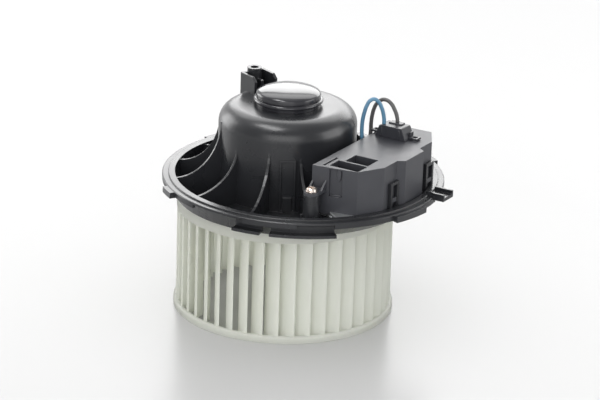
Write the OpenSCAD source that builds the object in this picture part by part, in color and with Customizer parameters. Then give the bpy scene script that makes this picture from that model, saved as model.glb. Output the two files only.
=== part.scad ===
// Car cabin blower motor: an eccentric moulded flange with a motor dome, a permanent magnet motor,
// a forward-curved fan wheel and a speed controller with its plug and leads.
// Origin on the fan axis, on the rim of the air inlet. +Z up, towards the motor.

/* [Fan wheel] */
// Outer diameter of the blades
fan_d = 150; // [146:1:151]
// Depth of the blades from outer to inner edge, measured on a radius
blade_depth = 12; // [9:1:14]
// Chord of a blade
blade_chord = 16; // [15:0.5:18]
// Radius of curvature of a blade
blade_curve = 16; // [13:1:24]
// Thickness of a blade
blade_t = 1.4; // [1:0.1:1.8]
// Number of blades
blade_count = 43; // [35:1:48]
// Height of the wheel
fan_h = 79.5; // [76:0.5:80]
// Height of the lip ring round the air inlet
lip_h = 5; // [4:0.5:8]
// How far the lip ring stands proud of the blades
lip_proud = 1.4; // [1:0.1:2]
// Height of the solid band at the top of the wheel
band_h = 7.5; // [5:0.5:10]
// Wall of the wheel's rings and of its hub cone
fan_wall = 1.8; // [1.4:0.1:2.4]
// Outer diameter of the hub boss
hub_d = 19; // [17:1:22]
// Length of the hub boss
hub_len = 18; // [14:1:20]
// Lower end of the hub boss above the inlet
hub_z = 40; // [38:1:44]

/* [Shaft and motor] */
// Diameter of the motor shaft
shaft_d = 8; // [7:0.5:9]
// Outer diameter of the motor can
can_d = 72; // [70:1:74]
// Length of the motor can
can_len = 66; // [64:1:67]
// Wall of the motor can
can_wall = 1.6; // [1.2:0.1:2]
// Thickness of the magnets
magnet_t = 5.5; // [4:0.5:6.5]
// Length of the magnets
magnet_len = 34; // [28:1:36]
// Arc of one magnet in degrees
magnet_arc = 128; // [100:2:150]
// Air gap between magnets and armature
air_gap = 0.8; // [0.5:0.1:1.2]
// Length of the lamination stack
core_len = 26; // [20:1:28]
// Number of armature slots
slot_count = 12; // [10:1:14]
// Outer diameter of the commutator
comm_d = 22; // [20:1:24]
// Length of the commutator bars
comm_len = 13; // [12:1:15]
// Number of commutator bars
bar_count = 12; // [10:1:16]
// Width of a carbon brush
brush_w = 6; // [5:0.5:7]
// Height of a carbon brush
brush_h = 8; // [6:0.5:9]
// Length of a carbon brush
brush_len = 10; // [8:0.5:11]
// Outer diameter of a bearing bush
bush_d = 16; // [14:1:18]
// Length of a bearing bush
bush_len = 8; // [7:0.5:9]

/* [Flange] */
// Outer diameter of the flange rim
rim_d = 193.4; // [190:0.2:198]
// Distance of the flange centre from the fan axis
flange_offset = 13.6; // [12:0.2:15]
// Direction of the flange centre and of the controller, in degrees from +X
flange_aim = -31.3; // [-40:0.5:-20]
// Height of the rim's outer top edge above the inlet
rim_z = 98; // [97:0.5:100]
// Width of the lower outer step of the rim
rim_step_w = 4.2; // [3:0.2:5]
// Width of the whole rim band
rim_band_w = 8.7; // [8:0.1:9.6]
// Height of the raised inner step of the rim
rim_step_h = 1; // [0.6:0.1:1.6]
// Height of the rim's skirt
skirt_h = 4; // [3:0.2:5]
// Wall of the flange moulding
wall = 2.4; // [2:0.1:2.8]
// Top face of the bowl's floor above the inlet
floor_z = 84.6; // [84.2:0.1:86]
// Outer diameter of the bowl's floor
floor_d = 163; // [161:1:165]
// How far the floor's centre lies back from the flange's centre
floor_back = 7; // [6:0.2:8]

/* [Dome] */
// Outer diameter of the dome
dome_d = 95; // [94:0.5:97]
// Flat top of the dome above the inlet
dome_z = 145.7; // [144:0.1:148]
// Radius of the dome's shoulder
shoulder_r = 13; // [10:0.5:16]
// Diameter of the hole under the cap
cap_hole_d = 38; // [34:1:40]
// Diameter of the cap's lower ring
cap_d = 46.6; // [45:0.2:48]
// Height of the cap above the dome
cap_h = 12; // [10:0.5:13]

/* [Ribs and tower] */
// Thickness of a rib
rib_t = 1.8; // [1.4:0.1:2.4]
// Direction of the screw tower, in degrees from +X
tower_aim = 126; // [115:1:135]
// Top of the tower's boss above the inlet
tower_z = 160.5; // [158:0.5:163]
// Distance of the tower's boss from the fan axis
tower_out = 41; // [39:0.5:42]
// Outer diameter of the tower's boss
tower_d = 10; // [9:0.5:11]
// Diameter of the tower's screw hole
tower_hole_d = 5.6; // [5:0.1:6.2]
// Distance between the tower's two plates, outside
tower_w = 19; // [17:0.5:21]
// Diameter of the side lug's screw hole
lug_hole_d = 5; // [4.5:0.1:6]
// Width of the side lug
lug_w = 13.4; // [12:0.2:15]
// Reach of the side lug beyond its hole
lug_reach = 8; // [7:0.5:9]

/* [Controller] */
// Top of the controller cover above the inlet
cover_z = 129; // [127:0.5:131]
// Height of the controller cover
cover_h = 33; // [31:0.5:33.5]
// Wall of the controller cover
cover_wall = 2; // [1.6:0.1:2.4]
// Distance of the cover's inner edge from the flange centre
cover_in = 40; // [39.8:0.1:42]
// Distance of the cover's outer edge from the flange centre
cover_out = 81.6; // [79:0.2:82]
// How far the cover's middle stands out further
cover_nose = 4.8; // [3:0.2:5]
// Half length of the cover along its inner edge
cover_half = 55.5; // [54:0.5:57]
// Thickness of the heat sink's plate
sink_t = 4; // [3:0.2:5]
// Height of the heat sink's fins
fin_h = 10; // [6:0.5:11]
// Number of heat sink fins
fin_count = 9; // [6:1:11]
// Depth of the socket's cavities
socket_deep = 16; // [12:0.5:18]
// Diameter of the cover's screws
screw_d = 3.5; // [3:0.1:4]
// Diameter of a screw's head
head_d = 7.6; // [7:0.1:8.4]
// Outer diameter of the screw bosses
boss_d = 11; // [10:0.5:12]

/* [Plug and leads] */
// Length of the plug
plug_len = 24; // [22:0.5:26]
// Depth of the plug
plug_deep = 12; // [11:0.5:13]
// Height of the plug above the cover
plug_h = 8.6; // [8:0.1:9]
// Diameter of a lead
lead_d = 2.7; // [2.4:0.1:3]

/* [Fits] */
// Radial running clearance of the shaft in its bushes
run_gap = 0.04; // [0.02:0.01:0.08]
// Clearance between pieces that seat on each other
seat_gap = 0.1; // [0.05:0.05:0.2]
// Clearance of a brush in its box, each side
brush_gap = 0.15; // [0.1:0.05:0.2]

/* [Hidden] */
$fn = 96;
eps = 0.01;

// Fan wheel
fan_r = fan_d / 2;
blade_in = fan_r - blade_depth;
band_z = fan_h - band_h;
lip_r = fan_r + lip_proud;
blade_out = fan_r - 0.3;
cone_top = band_z + fan_wall;

// Flange frame: its origin is the flange's centre, +X points to the controller
rim_r = rim_d / 2;
rim_in = rim_r - rim_band_w;
floor_r = floor_d / 2;
dome_r = dome_d / 2;
dome_in = dome_r - wall;
dome_under = dome_z - wall;
floor_under = floor_z - wall;
skirt_z = rim_z - skirt_h;

// Motor
shaft_r = shaft_d / 2;
bore_r = shaft_r + run_gap;
can_r = can_d / 2;
can_in = can_r - can_wall;
can_top = dome_under - 4.2;
can_z = can_top - can_len;
magnet_r = can_in - seat_gap;
magnet_in = magnet_r - magnet_t;
core_r = magnet_in - air_gap;
magnet_z = can_top - can_wall - 5 - magnet_len;
core_z = magnet_z + (magnet_len - core_len) / 2;
card_z = can_z + 7;
card_t = 2;
box_t = 0.5;
box_x = 1.6;
spring_room = 5;
brush_z = card_z + card_t + box_t + brush_h / 2;
box_len = brush_len + spring_room + box_t - box_x;
comm_z = brush_z - comm_len / 2;
comm_r = comm_d / 2;
bush_r = bush_d / 2;
top_bush_z = can_top - can_wall - bush_len / 2 + 2.6;
low_bush_z = can_z - 0.4;
shaft_z = hub_z - 5;
shaft_top = can_top + 0.8;

// Controller, in the flange frame
sink_z = cover_z - cover_h;
screw_at = [[45.2, -64.1], [45.2, 58.8]];
ear_z = cover_z - 17;
ear_t = 2;
plug_at = [43.6, 20];

sink_top = sink_z + 2;
board_z = sink_top + 3;
board_t = 1.6;
fin_in = 46;
fin_out = 64;
fin_half = 28;
pads = [[46, -40], [46, 34], [66, -36], [66, 34]];
cavities = [[49.5, -49.5, 22, 12], [53.5, -36, 17.5, 14]];
pins = [[54, -44, 6.3, 0.8], [62, -44, 6.3, 0.8], [57, -30, 2.4, 0.8], [64, -30, 2.4, 0.8]];
pin_low = 8;
header_w = 2.4;
header_at = [[49, 26], [60, 26]];
cap_sphere = (pow(cap_d / 2 + 0.2, 2) + pow(cap_h * 0.38, 2)) / (2 * cap_h * 0.38);

// Details of the flange, angles in its own frame
retainer_z = floor_z - 3;
boss_top = retainer_z + 10;
motor_screw_r = dome_in - 3.9;
motor_screw_at = [50, 170, 290];
claw_z = floor_z + 2.4;
claws = [[-88, -76], [-72, -45], [38, 64], [78, 104], [150, 176]];
gaps = [[-108, -83], [-61, -46], [64, 78], [118, 140], [176, 192]];
side_claws = [[-20, -3], [-130, -122], [52, 62], [158, 166]];
lug_x = 94.6;
lug_y = 19.8;
loop_at = [-21, 26.5];
loop_top = 116;
latch_aim = -89;
latch_top = 122.3;
ribs = [[-78.3, 122.5], [-104.5, 126], [-135.5, 123], [-163, 136], [169, 134], [141, 134], [113, 134],
    [84, 134], [55, 134], [24, 134]];
lead_aim = -10;
lead_z = 104;
lead_y = 2;
grommet_r = 4.4;

// Lead routes, from the plug's top over the arch and down to the motor, in the part's frame
plug_top = cover_z + plug_h;
blue_route = [[65.3, -12, plug_top], [65.3, -12, plug_top + 2], [64.8, -12, 143.5], [63.2, -12.2, 149],
    [60.8, -12.4, 153.2], [58, -12.6, 155], [55.2, -12.8, 153.8], [53.2, -13, 150.5], [51.8, -13.1, 146],
    [50.8, -13.2, 141], [50.4, -13.2, 135], [50.6, -13, 128], [51.4, -12.6, 120], [52.4, -11.9, 113],
    [52.7, -11.5, 108.3], [51.9, -11.2, 105.4], lead_in(50.6, -1), lead_in(49, -1), lead_in(43, -1), lead_in(36.4, -1)];
grey_route = [[74.4, -10.1, plug_top], [74.4, -10.1, plug_top + 2], [73.8, -9.7, 142.8],
    [72.2, -8.6, 146.6], [69.4, -6.6, 150.6], [66, -4.2, 152], [62.6, -1.8, 150.6], [60, 0, 147.4],
    [58.4, 1.1, 143.2], [57.5, 1.7, 138.5], [57, 2, 133], [56.9, 1.8, 127], [56.2, 0, 120.5],
    [54.9, -3.4, 114], [53.8, -6.4, 108.8], [52.7, -7.2, 105.6], lead_in(50.9, 1), lead_in(49, 1), lead_in(43, 1), lead_in(36.4, 1)];

// Point of a lead on its way in through the grommet, at radius r
function lead_in(r, side) = [r * cos(lead_aim) - side * lead_y * sin(lead_aim),
    r * sin(lead_aim) + side * lead_y * cos(lead_aim), lead_z];

// Frames and small helpers

// Places children in the flange's own frame
module flange_frame() {
    translate([flange_offset * cos(flange_aim), flange_offset * sin(flange_aim), 0])
        rotate([0, 0, flange_aim]) children();
}

// Ring between two radii
module ring(r_out, r_in, h) {
    difference() {
        cylinder(r = r_out, h = h);
        translate([0, 0, -eps]) cylinder(r = r_in, h = h + 2 * eps);
    }
}

// Pie slice in the plane, from angle a0 to a1, under 180 degrees
module slice(r, a0, a1) {
    mid = (a0 + a1) / 2;
    far = 2 * r;
    polygon([[0, 0], far * [cos(a0), sin(a0)], far * [cos(mid), sin(mid)], far * [cos(a1), sin(a1)]]);
}

// Piece of a ring between two angles
module arc_block(r_out, r_in, a0, a1, h) {
    linear_extrude(height = h) intersection() {
        difference() {
            circle(r = r_out);
            circle(r = r_in);
        }
        slice(r_out, a0, a1);
    }
}

// Fan wheel

// Plan of one blade: an arc from the inner to the outer edge, leaning the way the wheel turns
module blade_plan() {
    lean = acos((blade_in * blade_in + fan_r * fan_r - blade_chord * blade_chord)
        / (2 * blade_in * fan_r));
    inner = [blade_in, 0];
    outer = fan_r * [cos(lean), sin(lean)];
    way = (outer - inner) / blade_chord;
    left = [-way.y, way.x];
    depth = sqrt(blade_curve * blade_curve - blade_chord * blade_chord / 4);
    centre = (inner + outer) / 2 + depth * left;
    bow = blade_curve - depth + blade_t;
    side = blade_t * left;
    intersection() {
        difference() {
            circle(r = blade_out);
            circle(r = blade_in);
        }
        translate(centre) difference() {
            circle(r = blade_curve + blade_t / 2);
            circle(r = blade_curve - blade_t / 2);
        }
        polygon([inner - 2 * way + side, inner - 2 * way - bow * left,
            outer + 2 * way - bow * left, outer + 2 * way + side]);
    }
}

module fan_wheel() color("#d8dbd2") {
    cone_z = hub_z + 8;
    hub_r = hub_d / 2;
    union() {
        // Lip ring round the inlet
        rotate_extrude() polygon([[fan_r - fan_wall, 0], [lip_r, 0], [lip_r, lip_h - 1],
            [lip_r - 1, lip_h], [fan_r - fan_wall, lip_h]]);
        for (i = [0 : blade_count - 1])
            rotate([0, 0, i * 360 / blade_count]) translate([0, 0, 0.8])
                linear_extrude(height = band_z - 0.3) blade_plan();
        // Band, shelf over the blades, and the cone down to the boss
        rotate_extrude() polygon([[fan_r, band_z], [fan_r, fan_h], [fan_r - fan_wall, fan_h],
            [fan_r - fan_wall, cone_top], [blade_in - 1, cone_top], [46, 62 + fan_wall],
            [26, cone_z + 3.5 + fan_wall], [hub_r - 1, cone_z + fan_wall + 1], [hub_r - 1, cone_z],
            [26, cone_z + 3], [46, 62],
            [blade_in - 1, band_z - 1], [blade_in - 1, band_z]]);
        difference() {
            translate([0, 0, hub_z]) cylinder(r = hub_r, h = hub_len);
            translate([0, 0, hub_z - 1]) cylinder(r = shaft_r + seat_gap / 5, h = hub_len + 2);
        }
    }
}

module fan_nut() color("#b9bcc0") {
    translate([0, 0, hub_z - 1.2 - seat_gap]) difference() {
        union() {
            cylinder(r = shaft_r + 4, h = 1.2);
            translate([0, 0, -0.9]) cylinder(r = shaft_r + 1.4, h = 1);
        }
        translate([0, 0, -2]) cylinder(r = shaft_r + seat_gap / 5, h = 5);
    }
}

// Rotor inside the motor

module motor_shaft() color("#c9ccd0") {
    chamfer = 0.6;
    rotate_extrude() polygon([[0, shaft_z], [shaft_r - chamfer, shaft_z], [shaft_r, shaft_z + chamfer],
        [shaft_r, shaft_top - chamfer], [shaft_r - chamfer, shaft_top], [0, shaft_top]]);
}

module armature_core() color("#8b8f94") {
    pitch = 360 / slot_count;
    translate([0, 0, core_z]) linear_extrude(height = core_len) difference() {
        circle(r = core_r);
        circle(r = shaft_r + seat_gap / 5);
        for (i = [0 : slot_count - 1]) rotate([0, 0, i * pitch]) {
            translate([core_r - 5.5, 0]) circle(r = 3);
            translate([core_r - 5.5, -0.9]) square([7, 1.8]);
        }
    }
}

module armature_windings() color("#b5642c") {
    pitch = 360 / slot_count;
    head_h = 6;
    for (i = [0 : slot_count - 1]) rotate([0, 0, i * pitch])
        translate([core_r - 5.5, 0, core_z - head_h]) cylinder(r = 2.6, h = core_len + 2 * head_h, $fn = 24);
    for (z = [core_z - head_h + 0.6, core_z + core_len + 0.5]) translate([0, 0, z])
        ring(core_r - 5, comm_r + 3, head_h - 1.1);
}

module commutator() color("#b87333") {
    pitch = 360 / bar_count;
    riser_z = comm_len;
    translate([0, 0, comm_z]) difference() {
        union() {
            cylinder(r = comm_r, h = comm_len + 2);
            translate([0, 0, riser_z]) cylinder(r = comm_r + 2, h = 2);
        }
        translate([0, 0, -1]) cylinder(r = shaft_r + seat_gap / 5, h = comm_len + 4);
        for (i = [0 : bar_count - 1]) rotate([0, 0, (i + 0.5) * pitch])
            translate([comm_r - 0.8, -0.3, -1]) cube([4, 0.6, comm_len + 4]);
    }
}

module thrust_washers() color("#d9d4c0") {
    top_face = top_bush_z - bush_len / 2 - 1 - seat_gap;
    low_face = low_bush_z + bush_len / 2 + seat_gap;
    for (z = [top_face, low_face]) translate([0, 0, z]) ring(shaft_r + 3, shaft_r + seat_gap / 5, 1);
}

// Motor housing

module motor_can() color("#a9acaf") {
    pocket_r = bush_r + 1 + can_wall;
    difference() {
        union() {
            translate([0, 0, can_z]) cylinder(r = can_r, h = can_len);
            translate([0, 0, can_top - eps]) cylinder(r = pocket_r, h = 3);
        }
        translate([0, 0, can_z - 1]) cylinder(r = can_in, h = can_len - can_wall + 1);
        translate([0, 0, can_top - 4]) cylinder(r = bush_r + 1, h = 4 + 3 - can_wall);
    }
}

module magnets() color("#3c3c3e") {
    for (a = [0, 180]) translate([0, 0, magnet_z])
        arc_block(magnet_r, magnet_in, a - magnet_arc / 2, a + magnet_arc / 2, magnet_len);
}

module motor_end_plate() color("#a9acaf") {
    cup_r = bush_r + 1 + can_wall;
    translate([0, 0, can_z - can_wall - seat_gap]) difference() {
        union() {
            cylinder(r = can_r, h = can_wall);
            translate([0, 0, -4.4]) cylinder(r = cup_r, h = 4.5);
        }
        translate([0, 0, -4.4 + can_wall]) cylinder(r = bush_r + 1, h = 8);
        translate([0, 0, -6]) cylinder(r = shaft_r + 1.2, h = 8);
        for (i = [0 : 5]) rotate([0, 0, i * 60 + 30]) translate([24, 0, -1]) cylinder(r = 4, h = 4);
    }
}

module bush(z) {
    translate([0, 0, z]) difference() {
        intersection() {
            sphere(r = bush_r);
            translate([0, 0, -bush_len / 2]) cylinder(r = bush_r, h = bush_len);
        }
        translate([0, 0, -bush_len]) cylinder(r = bore_r, h = 2 * bush_len);
    }
}

module upper_bearing() color("#9a7b4f") bush(top_bush_z);

module lower_bearing() color("#9a7b4f") bush(low_bush_z);

module bearing_clips() color("#c2c4c6") {
    translate([0, 0, can_top - can_wall - 1 - seat_gap]) ring(bush_r + 4, bush_r + 0.05, 1);
    translate([0, 0, can_z + seat_gap]) ring(bush_r + 4, bush_r + 0.05, 1);
}

// Brush gear

module brush_card() color("#6b5a3a") {
    translate([0, 0, card_z]) difference() {
        cylinder(r = can_in - seat_gap, h = card_t);
        translate([0, 0, -1]) cylinder(r = comm_r + 2.5, h = card_t + 2);
        for (a = [60, 120, 240, 300]) rotate([0, 0, a]) translate([22, 0, -1])
            cylinder(r = 4.5, h = card_t + 2);
    }
}

// Places children at a brush, with +X outwards
module at_brush(side) {
    rotate([0, 0, side]) translate([comm_r + 0.05, 0, brush_z]) children();
}

module brush_boxes() color("#c8a24a") {
    half_w = brush_w / 2 + brush_gap;
    half_h = brush_h / 2 + brush_gap;
    for (a = [0, 180]) at_brush(a) difference() {
        translate([box_x, -half_w - box_t, -brush_h / 2 - box_t + eps])
            cube([box_len, 2 * (half_w + box_t), brush_h + brush_gap + 2 * box_t]);
        translate([box_x - 1, -half_w, -half_h]) cube([box_len + 1 - box_t, 2 * half_w, 2 * half_h]);
    }
}

module brush(side) {
    at_brush(side) difference() {
        translate([-1, -brush_w / 2, -brush_h / 2]) cube([brush_len + 1, brush_w, brush_h]);
        translate([-comm_r - 0.05, 0, -brush_h]) cylinder(r = comm_r + 0.05, h = 2 * brush_h);
    }
}

module brush_left() color("#2b2b2d") brush(180);

module brush_right() color("#2b2b2d") brush(0);

// Coil spring behind a brush, drawn as turned rings on a thin back
module brush_spring(side) {
    spring_r = brush_w / 2 - 0.6;
    long = spring_room - 2 * seat_gap;
    at_brush(side) translate([brush_len + seat_gap, 0, 0]) rotate([0, 90, 0]) difference() {
        union() {
            cylinder(r = spring_r - 0.3, h = long, $fn = 24);
            for (i = [0 : 3]) translate([0, 0, 0.2 + i * long / 3.7])
                cylinder(r = spring_r, h = 0.6, $fn = 24);
        }
        translate([0, 0, -1]) cylinder(r = spring_r - 0.9, h = long + 2, $fn = 24);
    }
}

module brush_spring_left() color("#c2c4c6") brush_spring(180);

module brush_spring_right() color("#c2c4c6") brush_spring(0);

module suppressor_chokes() color("#4a4a4c") {
    for (a = [40, 140]) rotate([0, 0, a]) translate([27, 0, card_z + card_t])
        cylinder(r = 2.6, h = 7);
}

module damper_rings() color("#1b1b1c") {
    for (z = [boss_top + seat_gap, can_top - 12]) translate([0, 0, z])
        ring(dome_in - seat_gap, can_r + seat_gap, 6);
}

// Ring that closes the dome below the motor and carries the lower damper through its bosses
module motor_retainer() color("#26272a") {
    translate([0, 0, retainer_z]) difference() {
        ring(dome_in - seat_gap, can_r + 2 * seat_gap, 2.5);
        for (a = motor_screw_at) rotate([0, 0, a]) translate([motor_screw_r, 0, -1])
            cylinder(r = 1.8, h = 5);
    }
}

module motor_screws() color("#c9ccd0") {
    for (a = motor_screw_at) rotate([0, 0, a]) translate([motor_screw_r, 0, retainer_z - 2]) {
        cylinder(r = 3.2, h = 2);
        translate([0, 0, 1.9]) cylinder(r = 1.6, h = 9);
    }
}

// Flange housing

// Distance from the fan axis to a circle whose centre lies off towards the controller
function reach(r, off, aim) = off * cos(aim) + sqrt(r * r - pow(off * sin(aim), 2));

// Rib from the dome's wall out to the rim, with a hollow quarter-ellipse edge
module rib(aim, top_z) {
    at_rim = reach(rim_in, flange_offset, aim - flange_aim);
    at_floor = reach(floor_r - wall, flange_offset - floor_back, aim - flange_aim);
    rise = top_z - rim_z;
    steps = 12;
    edge = [for (i = [0 : steps]) let (a = 90 * i / steps)
        [at_rim - (at_rim - dome_r) * cos(a), top_z - rise * sin(a)]];
    rotate([0, 0, aim]) rotate([90, 0, 0]) translate([0, 0, -rib_t / 2]) linear_extrude(height = rib_t)
        polygon(concat([[dome_r - wall / 2, floor_z - 1], [dome_r - wall / 2, top_z]], edge,
            [[at_rim + 1, rim_z], [at_rim + 1, rim_z - 2], [at_floor + 0.8, floor_z - 1]]));
}

// Half section of the dome, shrunk by a wall
module dome_section(inset) {
    r = dome_r - inset;
    top = dome_z - inset;
    round_r = shoulder_r - inset;
    translate([0, floor_under]) {
        square([r, top - floor_under - round_r]);
        square([r - round_r, top - floor_under]);
    }
    intersection() {
        translate([r - round_r, top - round_r]) circle(r = round_r);
        translate([0, floor_under]) square([r, top - floor_under]);
    }
}

module dome_shell() {
    rotate_extrude() difference() {
        dome_section(0);
        translate([0, -1]) dome_section(wall);
        translate([0, floor_under - 2]) square([dome_in, 6]);
        square([cap_hole_d / 2, 2 * dome_z]);
    }
}

// Solid between the rim circle and the smaller floor circle that lies back from it
module bowl_solid(r_top, z_top, r_low, z_low) {
    hull() {
        translate([0, 0, z_top - eps]) cylinder(r = r_top, h = eps, $fn = 72);
        translate([-floor_back, 0, z_low]) cylinder(r = r_low, h = eps, $fn = 72);
    }
}

module bowl() {
    difference() {
        bowl_solid(rim_in + wall - 0.4, skirt_z, floor_r, floor_under);
        bowl_solid(rim_in + 0.3, skirt_z + 2 * eps, floor_r - wall, floor_z);
        translate([-flange_offset, 0, floor_under - 1]) cylinder(r = dome_r - wall / 2, h = wall + 2);
        // Window through which the heat sink's fins meet the air
        translate([fin_in - 2, -fin_half - 2, floor_under - 1])
            cube([fin_out - fin_in + 4, 2 * fin_half + 4, wall + 2]);
    }
}

module rim() {
    rotate_extrude() polygon([[rim_in, rim_z + rim_step_h], [rim_r - rim_step_w - 0.3, rim_z + rim_step_h],
        [rim_r - rim_step_w, rim_z + rim_step_h - 0.3], [rim_r - rim_step_w, rim_z], [rim_r - 0.5, rim_z],
        [rim_r, rim_z - 0.5], [rim_r, skirt_z], [rim_r - 2, skirt_z], [rim_r - 2, rim_z - wall],
        [rim_in + wall, rim_z - wall], [rim_in + wall, skirt_z - 0.4], [rim_in, skirt_z - 0.4]]);
}

// Bayonet claw below the rim, from angle a0 to a1
module claw(a0, a1) {
    translate([0, 0, claw_z]) arc_block(rim_r - 1, rim_in - 1, a0, a1, 2);
    translate([0, 0, claw_z]) arc_block(rim_in + wall - 0.3, rim_in - 1, a0, a1, skirt_z - claw_z);
}

// Gap in the skirt, from angle a0 to a1
module skirt_gap(a0, a1) {
    translate([0, 0, skirt_z - 1]) arc_block(rim_r + 1, rim_r - 2.5, a0, a1, rim_z - 1.4 - skirt_z + 1);
}

// Channel-shaped screw lug beside the controller
module side_lug() {
    lug_in = rim_in + 1;
    lug_end = lug_x + lug_reach;
    translate([0, lug_y, 0]) {
        translate([lug_in, -lug_w / 2, rim_z - wall]) cube([lug_end - lug_in, lug_w, wall]);
        for (side = [-1, 1]) translate([lug_in, side * (lug_w - 1.6) / 2 - 0.8, rim_z - wall])
            cube([lug_end - lug_in, 1.6, wall + 2.4]);
    }
}

// Loop that snaps over a nub of the controller
module snap_loop() {
    translate([cover_out + seat_gap * 2, -5, skirt_z - 2]) difference() {
        cube([2.2, 10, loop_top - skirt_z + 2]);
        translate([-1, 2, 6]) cube([5, 6, loop_top - skirt_z - 6]);
    }
}

// Boss of a cover screw, with two gussets
module screw_boss() {
    difference() {
        union() {
            translate([0, 0, floor_z - 1]) cylinder(r = boss_d / 2, h = ear_z - floor_z + 1);
            rotate([0, 0, 45]) translate([0, -0.8, floor_z - 1]) cube([boss_d / 2 + 0.9, 1.6, 14]);
            rotate([0, 0, 200]) translate([0, -0.8, floor_z - 1]) cube([boss_d / 2 + 1.6, 1.6, 14]);
        }
        translate([0, 0, ear_z - 14]) cylinder(r = screw_d / 2 + seat_gap, h = 15);
    }
}

// U bracket with a screw boss, on the dome's shoulder
module tower() {
    foot_z = dome_z - 8;
    inner = tower_out - 14;
    plate_t = 2;
    rotate([0, 0, tower_aim]) difference() {
        union() {
            translate([tower_out, 0, foot_z]) cylinder(r = tower_d / 2, h = tower_z - foot_z);
            for (side = [-1, 1]) translate([0, side * (tower_w - plate_t) / 2 + plate_t / 2, 0])
                rotate([90, 0, 0]) linear_extrude(height = plate_t)
                    polygon([[inner, foot_z], [inner, tower_z - 6], [inner + 3.5, tower_z - 3],
                        [tower_out + 3, tower_z - 3], [tower_out + 3, foot_z]]);
            translate([tower_out + 1, -tower_w / 2, foot_z]) cube([2, tower_w, tower_z - 3 - foot_z]);
            translate([inner + 4, -1, foot_z]) cube([tower_out - inner - 4, 2, tower_z - 7 - foot_z]);
        }
        translate([tower_out, 0, tower_z - 14]) cylinder(r = tower_hole_d / 2, h = 15);
        // The bracket ends at the dome's own wall
        rotate_extrude() translate([0, -1]) dome_section(wall / 2);
    }
}

// Raised frame with a catch on the front of the dome
module latch_frame() {
    frame_w = 11;
    frame_h = latch_top - floor_z;
    out = dome_r + 1.4;
    rotate([0, 0, latch_aim]) translate([0, 0, floor_z - 0.5]) {
        difference() {
            translate([dome_r - wall / 2, -frame_w / 2, 0])
                cube([out - dome_r + wall / 2, frame_w, frame_h]);
            translate([dome_r + 0.3, -frame_w / 2 + 1.4, 2]) cube([6, frame_w - 2.8, frame_h - 3.6]);
        }
        translate([dome_r - wall / 2, -3, 1]) cube([out - dome_r + wall / 2 + 0.4, 6, 10]);
    }
}

module flange_housing() color("#202124") {
    difference() {
        union() {
            dome_shell();
            flange_frame() {
                bowl();
                rim();
                for (c = claws) claw(c[0], c[1]);
                for (c = side_claws) translate([0, 0, skirt_z - 0.6])
                    arc_block(rim_r + 3.4, rim_r - 1, c[0], c[1], skirt_h);
                side_lug();
                // Screw bosses, cut off inside the bowl's sloping wall
                intersection() {
                    for (p = screw_at) translate([p[0], p[1], 0]) screw_boss();
                    union() {
                        bowl_solid(rim_in + wall - 1.2, skirt_z, floor_r - 0.8, floor_under + 0.8);
                        translate([0, 0, skirt_z - 1]) cylinder(r = rim_in + 1, h = ear_z - skirt_z + 2);
                    }
                }
                for (y = loop_at) translate([0, y, 0]) snap_loop();
            }
            for (r = ribs) rib(r[0], r[1]);
            for (a = motor_screw_at) rotate([0, 0, a]) translate([motor_screw_r, 0, retainer_z + 2.5]) {
                cylinder(r = 3.6, h = boss_top - retainer_z - 2.5);
                translate([0, -2.5, 0]) cube([dome_in - motor_screw_r + 1, 5, boss_top - retainer_z - 2.5]);
            }
            tower();
            latch_frame();
        }
        flange_frame() {
            for (c = gaps) skirt_gap(c[0], c[1]);
            translate([lug_x, lug_y, rim_z - 8]) cylinder(r = lug_hole_d / 2, h = 20);
            translate([rim_in + wall + 0.4, lug_y - lug_w / 2 + 1.6, skirt_z - 1])
                cube([20, lug_w - 3.2, rim_z - wall - skirt_z + 1]);
        }
        for (a = motor_screw_at) rotate([0, 0, a]) translate([motor_screw_r, 0, retainer_z])
            cylinder(r = 1.7, h = 12);
        // Way in for the leads through the dome's wall
        rotate([0, 0, lead_aim]) translate([dome_r - 12, 0, lead_z]) rotate([0, 90, 0])
            cylinder(r = grommet_r, h = 16);
    }
}

module dome_cap() color("#141416") {
    r = cap_d / 2;
    groove = 1.4;
    bead_z = dome_z + cap_h * 0.42;
    dome_low = dome_z + cap_h * 0.62;
    rotate_extrude() {
        difference() {
            union() {
                translate([0, dome_z]) square([r, cap_h * 0.45]);
                translate([r - 0.4, bead_z]) circle(r = 1.6, $fn = 48);
                translate([0, bead_z]) square([r - groove, dome_low - bead_z + 0.2]);
                intersection() {
                    translate([0, dome_z + cap_h - cap_sphere]) circle(r = cap_sphere, $fn = 192);
                    translate([0, dome_low]) square([r + 0.2, cap_h]);
                }
                // Spigot in the dome's hole
                translate([0, dome_under - 1]) square([cap_hole_d / 2 - seat_gap, dome_z - dome_under + 1.1]);
            }
            translate([0, dome_under - 2])
                square([cap_hole_d / 2 - seat_gap - 1.6, dome_z - dome_under + 2 + cap_h * 0.4]);
            translate([-4, -1]) square([4, 2 * dome_z]);
        }
    }
}

// Controller

// Outline of the cover in the flange frame, shrunk by a wall
module cover_plan(inset) {
    i = inset;
    nose = 12;
    polygon([[cover_in + i, -cover_half + i], [cover_out - 10 - i * 0.4, -cover_half + 5.6 + i],
        [cover_out - i, -cover_half + 23.5 + i * 0.4], [cover_out - i, -nose - 3.6 + i * 0.4],
        [cover_out + cover_nose - i, -nose + i * 0.4], [cover_out + cover_nose - i, nose - i * 0.4],
        [cover_out - i, nose + 3.6 - i * 0.4], [cover_out - i, cover_half - 23.5 - i * 0.4],
        [cover_out - 10 - i * 0.4, cover_half - 6.4 - i], [cover_in + i, cover_half - 8 - i]]);
}

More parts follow.
